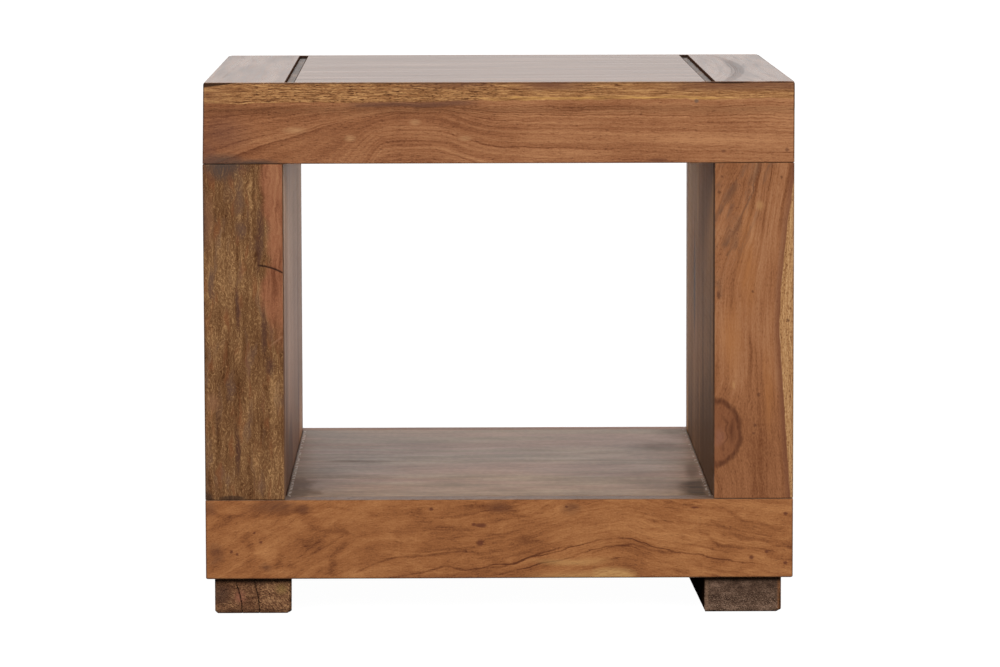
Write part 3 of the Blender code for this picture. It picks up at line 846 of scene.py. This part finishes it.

# Shelf
# Four boards that run from wall to wall, glued edge to edge, level with the bottom rails.
# They lie on bearers that are fixed to the walls, and pale specks are drawn along the joints at their ends.


def shelf_timber():
    """Long streaks from mauve to olive, with dark patches at the two front corners."""
    material, x, y, z = open_timber("shelf timber")
    board = noted(x, "board")
    ring = y + .4 * z + 2.5 * uneven(x / 150, y / 30, 3) + 19 * board
    streak = uneven(x / 60, ring / 22, z / 40, 3) * (1 - .6 * y.fade(40, 200))
    narrow = uneven(x / 40, ring / 9, z / 30) * (1 - .6 * y.fade(40, 200))
    fibre = uneven(x / 12, ring / .9, z / .9, 1)
    cloud = uneven(x / 90, y / 60, z / 60)
    grit = uneven(x / 5, y / 9, z / 2)
    smudge = uneven(x / 14, y / 28, z / 20, 3)
    tone = .36 * streak + .14 * narrow + .14 * fibre + .42 * cloud + .22 * grit + .14 * y.near(70, 50, 130)
    tone = tone - .2 * (1 - y.fade(-235, -185))
    mauve = tinted(tone, (126, 90, 68), (170, 125, 97), (205, 159, 131))
    olive = tinted(tone, (114, 89, 61), (158, 124, 91), (196, 162, 126))
    front = 1 - y.fade(-245, -110)
    right_corner_patch = ovals(x, y, ((174, -180, 29, 84), (176, -224, 32, 44)), 1)
    stain = .8 * (right_corner_patch + .2 * smudge).fade(.1, .75)
    stain = stain.most(.5 * oval(x - .04 * y, y, (175.5, -70), (9, 90), .8))
    stain = stain * (1 - .5 * (x + 2 * smudge).fade(176, 179) * (1 - y.fade(-190, -120)))
    left_corner_patch = ovals(x, y, ((-178, -150, 30, 90), (-170, -205, 34, 50)), 1)
    stain = stain.most(.45 * (left_corner_patch + .35 * smudge).fade(.25, .85))
    dull = ovals(x, y + 8 * narrow, ((-126, 0, 42, 18), (150, 100, 36, 55), (170, 205, 30, 60)), 1)
    stain = stain.most(.4 * dull * (1 + .5 * smudge))
    joint = abs(x).between(178.4, 180.4, .5)
    joint_speckle = uneven(y / 9, x / 4, 5)
    colour = layered(
        over(uneven(x / 260, ring / 34, z / 60).fade(-.5, .5).most(.9 * front), mauve, olive),
        (stain * (.85 + .3 * narrow), 56, 43, 32),
        (abs(x).fade(180.2, 181) * (.55 + .3 * joint_speckle), 58, 40, 29),
    )
    joint_speckle = joint_speckle + .3 * (1 - x.fade(-1, 1))
    colour = over(joint * joint_speckle.fade(.1, .5) * .85, colour, display(222, 208, 194))
    # Painted shade along the eased edges.
    colour = shade_edges(colour, .3, 1, (60, 42, 32))
    roughness = .49 - .035 * streak - .015 * narrow + .24 * stain - .02 * y.near(0, 40, 130)
    return close_timber(material, colour, roughness, tone, .5, .00004)


lay_boards("shelf", numbered("shelf_board"), shelf_timber(),
           ease_low=(JOINT, JOINT, SOFT), ease_high=(JOINT, JOINT, CRISP))

# Top
# Two end boards run from front to back and four middle boards across between them, in the rails' rebates.
# The middle boards are tongued into the end boards, and the tongues floor a shadow groove where they meet.
GROOVE = .007
GROOVE_DEPTH = .0026
TONGUE_BOTTOM = .012
ASKEW = .0026
end_low, end_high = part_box("top_right_end_board")
shoulder = end_low.x - GROOVE


def fitted(corner):
    """Set the left groove askew, as it was fitted, and draw the left board in as far as the rails, whose
    left ends wear has drawn in.
    """
    if corner.x > 0:
        return corner
    front = (end_high.y - corner.y) / (end_high.y - end_low.y)
    outer = max(0, -corner.x - end_low.x) / (end_high.x - end_low.x)
    inner = min(1, -corner.x / shoulder) * (1 - outer)
    return Vector((corner.x + front * (WORN_END * outer + ASKEW * inner), corner.y, corner.z))


def top_timber(name, run, seed, dark, middle, light, crescent):
    """Much-polished boards whose sheen runs in streaks; one shows a dark crescent of growth rings."""
    material, *place = open_timber(name)
    along, across, deep = (place["xyz".index(axis)] for axis in run)
    board = noted(along, "board")
    along = along + 211.7 * board + 97.3 * seed
    ring = across + 9 * board + 3 * uneven(along / 160, across / 40, deep / 30)
    streak = uneven(along / 160, ring / 14, deep / 40)
    narrow = uneven(along / 90, ring / 3.2, deep / 30)
    fibre = uneven(along / 14, ring / .9, deep / .9, 1)
    line = seasons(ring, 11, seed) * uneven(along / 80, ring / 9, deep / 30).fade(-.4, .6)
    tone = .5 * streak + .4 * narrow + .25 * fibre - .6 * line
    roughness = .286 - .02 * streak + .02 * narrow + .05 * line
    if crescent:
        x, y, z = place
        bend = (y - 20) / 220
        rim = x - 221 + 17 * bend * bend + 1 * uneven(y / 40, x / 9, z / 20)
        width = 12 - 3.5 * bend * bend - 8 * y.fade(20, 250)
        band = (rim + width).fade(-2.5, 2) - rim.fade(-1, .8)
        turns = .36 + .8 * seasons(rim + 40, 2.3, 8)
        ghosts = (rim + width).between(-16, 0, 4) * seasons(rim + 60, 6, 5) * .15
        band = (band * turns).most(ghosts)
        tone = tone - 1.1 * band
        roughness = roughness - .01 + .18 * band
    # Painted shade: the groove walls, the left groove set askew, are drawn near black and dull under a plain
    # matte shader, to stand for the shade in the grooves; the eased edges are darkened as painted shade too.
    askew = PER_METRE * ASKEW * (.5 - place[1] / (2 * half_depth)) * (1 - place[0].fade(-1, 1))
    wall = abs(place[0] - askew).between(174.9, 183.1, .3)
    side = abs(place[0]).fade(248.6, 249.4)
    colour = over(wall * .95, shade_edges(tinted(tone, dark, middle, light), .6), display(30, 19, 13))
    close_timber(material, colour, roughness + .65 * wall + .3 * side, tone, .5, .00006)
    tree = material.node_tree
    matte = tree.nodes.new("ShaderNodeBsdfDiffuse")
    matte.inputs["Color"].default_value = display(66, 46, 35)
    polished = Reading(tree.nodes["Principled BSDF"].outputs[0])
    mixed = wall.node("ShaderNodeMixShader", {0: wall, 1: polished, 2: Reading(matte.outputs[0])})
    tree.links.new(mixed.socket, tree.nodes["Material Output"].inputs["Surface"])
    return material


top_tones = ((80, 48, 30), (122, 82, 55), (152, 108, 76))
for side, seed, ease_low, ease_high in (("left", 51, (ROUND, JOINT, JOINT), (CRISP, JOINT, CRISP)),
                                        ("right", 52, (CRISP, JOINT, JOINT), (ROUND, JOINT, CRISP))):
    timber = top_timber(f"top {side} end timber", "yxz", seed, *top_tones, side == "right")
    lay_boards(f"top_{side}_end", [f"top_{side}_end_board"], timber, ease_low, ease_high,
               work=fitted)
middle_nodes = numbered("top_board")
middle_boxes = [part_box(node) for node in middle_nodes]
tongue_tip = middle_boxes[0][1].x
for low, high in middle_boxes:
    low.x = -shoulder
    high.x = shoulder
lay_boards("top_middle", middle_nodes, top_timber("top timber", "xyz", 55, *top_tones, False),
           (CRISP, JOINT, JOINT), (CRISP, JOINT, CRISP), boxes=middle_boxes, work=fitted)
tongue_low = end_high.z - TONGUE_BOTTOM
tongue_high = end_high.z - GROOVE_DEPTH
tongue_boxes = []
for near, far in ((-tongue_tip, -shoulder), (shoulder, tongue_tip)):
    tongue_boxes.append((Vector((near, end_low.y, tongue_low)), Vector((far, end_high.y, tongue_high))))
tongue_tones = ((48, 32, 23), (108, 79, 59), (166, 130, 104))
tongue_timber = plain_timber("tongue timber", "yxz", 57, *tongue_tones, roughness=.45, gloss=.4)
lay_boards("top_tongues", [], tongue_timber, (CRISP, JOINT, CRISP), (CRISP, JOINT, CRISP),
           boxes=tongue_boxes, work=fitted)

# Runners
# Two lengths of timber, sawn by hand and a little askew, chamfered below; they carry the walls.
# Screws hold them from below. Their end grain shows at both ends, and the left one has cracked in front.
CRACKS = ((219.6, .0078), (204.8, .006))
CRACK_DEPTH = .0016
CRACK_REACH = .7
SOLE_CHAMFER = .0022
CHAMFERED = 1.1
RUNNER_CUTS = (221, 41, 41)
AT_END = .001
FRONT_SHARE = .01


def runner_timber(name, left):
    """Dark wood, mottled and rough at its sawn ends, plain along its sides, which are painted nearly black
    as shade.
    """
    material, x, y, z = open_timber(name)
    mottle = uneven(x / 2.4, z / 2.4, y / 12)
    grain = uneven(x / 1.1, z / 1.1, y / 9, 1)
    cloud = uneven(x / 13, z / 9, y / 40)
    rays = uneven((x + .8 * z) / 1.5, (z - .5 * x) / 6, y / 20)
    side = uneven(y / 60, (x + z) / 4, (x - z) / 9)
    end = abs(y).fade(240, 241.2)
    if left:
        golden = x.fade(-214, -196)
        tone = .5 * mottle + .55 * grain + .45 * cloud + golden * (.7 * rays + .3) - .05
        pink = oval(x + grain, z, (-221.5, 14), (7, 9), .9)
        yellow = oval(x, z, (-186, 21), (8, 7), .9)
        # Darker grey patches on the sawn end.
        grey_patches = ovals(x, z, ((-207, 29, 17, 8), (-238, 16, 14, 14)), .9)
        # Painted shade: darker just above the sole.
        bottom = 1 - z.fade(2.5, 5)
        colour = layered(
            tinted(tone, (64, 39, 26), (114, 78, 55), (170, 127, 90)),
            (pink * .7, 152, 98, 76),
            (yellow * .5, 152, 122, 72),
            (grey_patches * (.6 + .2 * mottle), 66, 49, 42),
            (bottom * .5, 66, 44, 33),
        )
        for offset, bend in CRACKS:
            crack = x + offset + bend * z * z
            crack = (1 - abs(crack + .5 * grain).fade(.15, .75)) * (1 - z.fade(24, 27))
            colour = over(crack * .85, colour, display(36, 22, 16))
    else:
        speck = grain.fade(.35, .75) * (1 - z.fade(10, 24))
        tone = .4 * mottle + .5 * grain * (1 - .6 * z.fade(8, 24)) + .7 * cloud
        warm = x.fade(236, 239) * (.7 + .3 * mottle)
        arris = x.between(176, 178, .6) * .6
        colour = layered(
            tinted(tone, (52, 36, 29), (94, 72, 58), (138, 110, 92)),
            (speck * .5, 158, 132, 112),
            (warm, 134, 88, 56),
            (arris, 128, 100, 80),
        )
    # Painted shadow: a dark band along the top stands for the shadow under the rail's overhang.
    colour = over(z.fade(25.5, 28.5) * .85, colour, display(40, 29, 23))
    # Painted shade: all but the sawn ends are drawn nearly black, as in the shade under the table.
    colour = over(1 - end, colour, tinted(side, (24, 15, 10), (38, 25, 17), (58, 40, 28)))
    # Painted shade along the eased edges.
    colour = shade_edges(colour, .5, 1.6, (44, 29, 21))
    return close_timber(material, colour, .9 + .05 * mottle, mottle + grain, 0, .0003)


for side, left_chamfer, right_chamfer in (("left", .0024, .0034), ("right", .0008, .0038)):
    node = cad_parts[f"{side}_runner"]
    corners = [node.matrix_world @ vertex.co for vertex in node.data.vertices]
    low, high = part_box(f"{side}_runner")
    near = [corner.x for corner in corners if corner.y < low.y + AT_END]
    far = [corner.x for corner in corners if corner.y > high.y - AT_END]
    low.x = min(near)
    high.x = max(near)
    near_reach = (min(near), max(near))
    far_reach = (min(far), max(far))

    def sawn(corner):
        """Set a corner between the runner's two ends, and sink it where the left one has cracked."""
        across = (corner.x - near_reach[0]) / (near_reach[1] - near_reach[0])
        back = (corner.y - low.y) / (high.y - low.y)
        reaches = [first + (last - first) * back for first, last in zip(near_reach, far_reach)]
        sunk = 0
        if side == "left" and back < FRONT_SHARE:
            height = corner.z * PER_METRE
            for offset, bend in CRACKS:
                crack = -offset - bend * height * height
                sunk = max(sunk, CRACK_DEPTH * (1 - abs(corner.x * PER_METRE - crack) / CRACK_REACH))
        return Vector((reaches[0] + (reaches[1] - reaches[0]) * across, corner.y + sunk, corner.z))

    timber = runner_timber(f"{side} runner timber", side == "left")
    lay_boards(f"{side}_runner_board", [f"{side}_runner"], timber,
               (left_chamfer, CRISP, SOLE_CHAMFER), (right_chamfer, CRISP, JOINT),
               boxes=[(low, high)], cuts=RUNNER_CUTS, corner=CHAMFERED, work=sawn)

# Hidden timber and screws
# Tenons, battens and bearers are offcuts of the same wood, left as sawn.
# The screws that hold the runners are plated steel, with a dull yellow tinge.
sawn_timber = plain_timber("sawn timber", "yxz", 71, (96, 64, 42), (134, 96, 66), (166, 126, 92), .6)
screw_steel, x, y, z = open_timber("screw steel")
dull = uneven(x / .8, y / .8, z / .8)
steel = tinted(dull, (134, 124, 98), (176, 168, 146), (206, 200, 184))
close_timber(screw_steel, steel, .35 + .08 * dull, dull, .5)
screw_steel.node_tree.nodes["Principled BSDF"].inputs["Metallic"].default_value = 1
for name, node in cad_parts.items():
    if not node.hide_render:
        node.material_slots[0].material = screw_steel if "screw" in name else sawn_timber

# Floor and light
# A plain pale floor and soft lamps, as in a small studio with a lit white backdrop behind the table.
# The camera sees a white floor; the wood mirrors a bright floor behind it and a dim one in front.
REACH = 30.0
FLOOR_GREY = (.1, .1, .1, 1)
FLOOR_GLOW = .98


def rays(tree):
    """Read whether a ray comes from the camera, from a mirror or through glass."""
    path = tree.nodes.new("ShaderNodeLightPath")
    return [Reading(path.outputs[f"Is {kind} Ray"]) for kind in ("Camera", "Glossy", "Transmission")]


floor_mesh = bpy.data.meshes.new("floor")
floor_mesh.from_pydata([(-REACH, -REACH, 0), (REACH, -REACH, 0), (REACH, REACH, 0), (-REACH, REACH, 0)], [],
                       [(0, 1, 2, 3)])
floor = bpy.data.objects.new("floor", floor_mesh)
scene.collection.objects.link(floor)
floor_paint = bpy.data.materials.new("floor paint")
floor_paint.use_nodes = True
tree = floor_paint.node_tree
shader = tree.nodes["Principled BSDF"]
shader.inputs["Base Color"].default_value = FLOOR_GREY
shader.inputs["Roughness"].default_value = .9
shader.inputs["Specular IOR Level"].default_value = 0.0
shader.inputs["Emission Strength"].default_value = 1.0
seen, mirrored, through = rays(tree)
place = Reading(tree.nodes.new("ShaderNodeTexCoord").outputs["Object"])
behind = place.parts()[1].fade(-1.6, .2)
glow = seen.most(mirrored.most(through) * behind) * FLOOR_GLOW
tree.links.new(glow.joined(glow, glow).socket, shader.inputs["Emission Color"])
floor_mesh.materials.append(floor_paint)

world = bpy.data.worlds.new("studio")
scene.world = world
world.use_nodes = True
tree = world.node_tree
background = tree.nodes["Background"]
background.inputs["Color"].default_value = (1, 1, 1, 1)
seen, mirrored, through = rays(tree)
direction = Reading(tree.nodes.new("ShaderNodeTexCoord").outputs["Generated"])
toward_back = direction.parts()[1].fade(-.3, .2)
ambient = mirrored * (.15 + .85 * toward_back) + (1 - mirrored) * (.5 + .5 * toward_back)
tree.links.new(seen.most(through).most(ambient).socket, background.inputs["Strength"])


def soft_lamp(name, place, size, power):
    """Hang a large soft lamp that faces the table."""
    lamp = bpy.data.lights.new(name, "AREA")
    lamp.shape = "SQUARE"
    lamp.size = size
    lamp.energy = power
    holder = bpy.data.objects.new(name, lamp)
    holder.location = place
    middle = (cad_box[0] + cad_box[1]) / 2
    holder.rotation_euler = (middle - holder.location).to_track_quat("-Z", "Y").to_euler()
    holder.visible_glossy = False
    scene.collection.objects.link(holder)


soft_lamp("key lamp", place=(-1.8, -3.2, 2.3), size=1.8, power=95)
soft_lamp("fill lamp", place=(2.2, -2.8, 1.4), size=1.8, power=55)

# Camera
# A long lens a little above the table and in front of it, as in the photograph.
# It was fitted to the table's edges in the photograph.
camera_data = bpy.data.cameras.new("camera")
camera_data.sensor_width = 36
camera_data.lens = 173.6258
camera = bpy.data.objects.new("camera", camera_data)
pitch = math.radians(5.9577)
yaw = math.radians(.5289)
roll = math.radians(.124)
stand = (-.03668, -4.31336, .66432)
tilt = Matrix.Rotation(math.pi / 2 - pitch, 4, "X")
turn = Matrix.Rotation(-yaw, 4, "Z") @ tilt @ Matrix.Rotation(-roll, 4, "Z")
camera.matrix_world = Matrix.Translation(stand) @ turn
scene.collection.objects.link(camera)
scene.camera = camera
scene.view_settings.view_transform = "Standard"
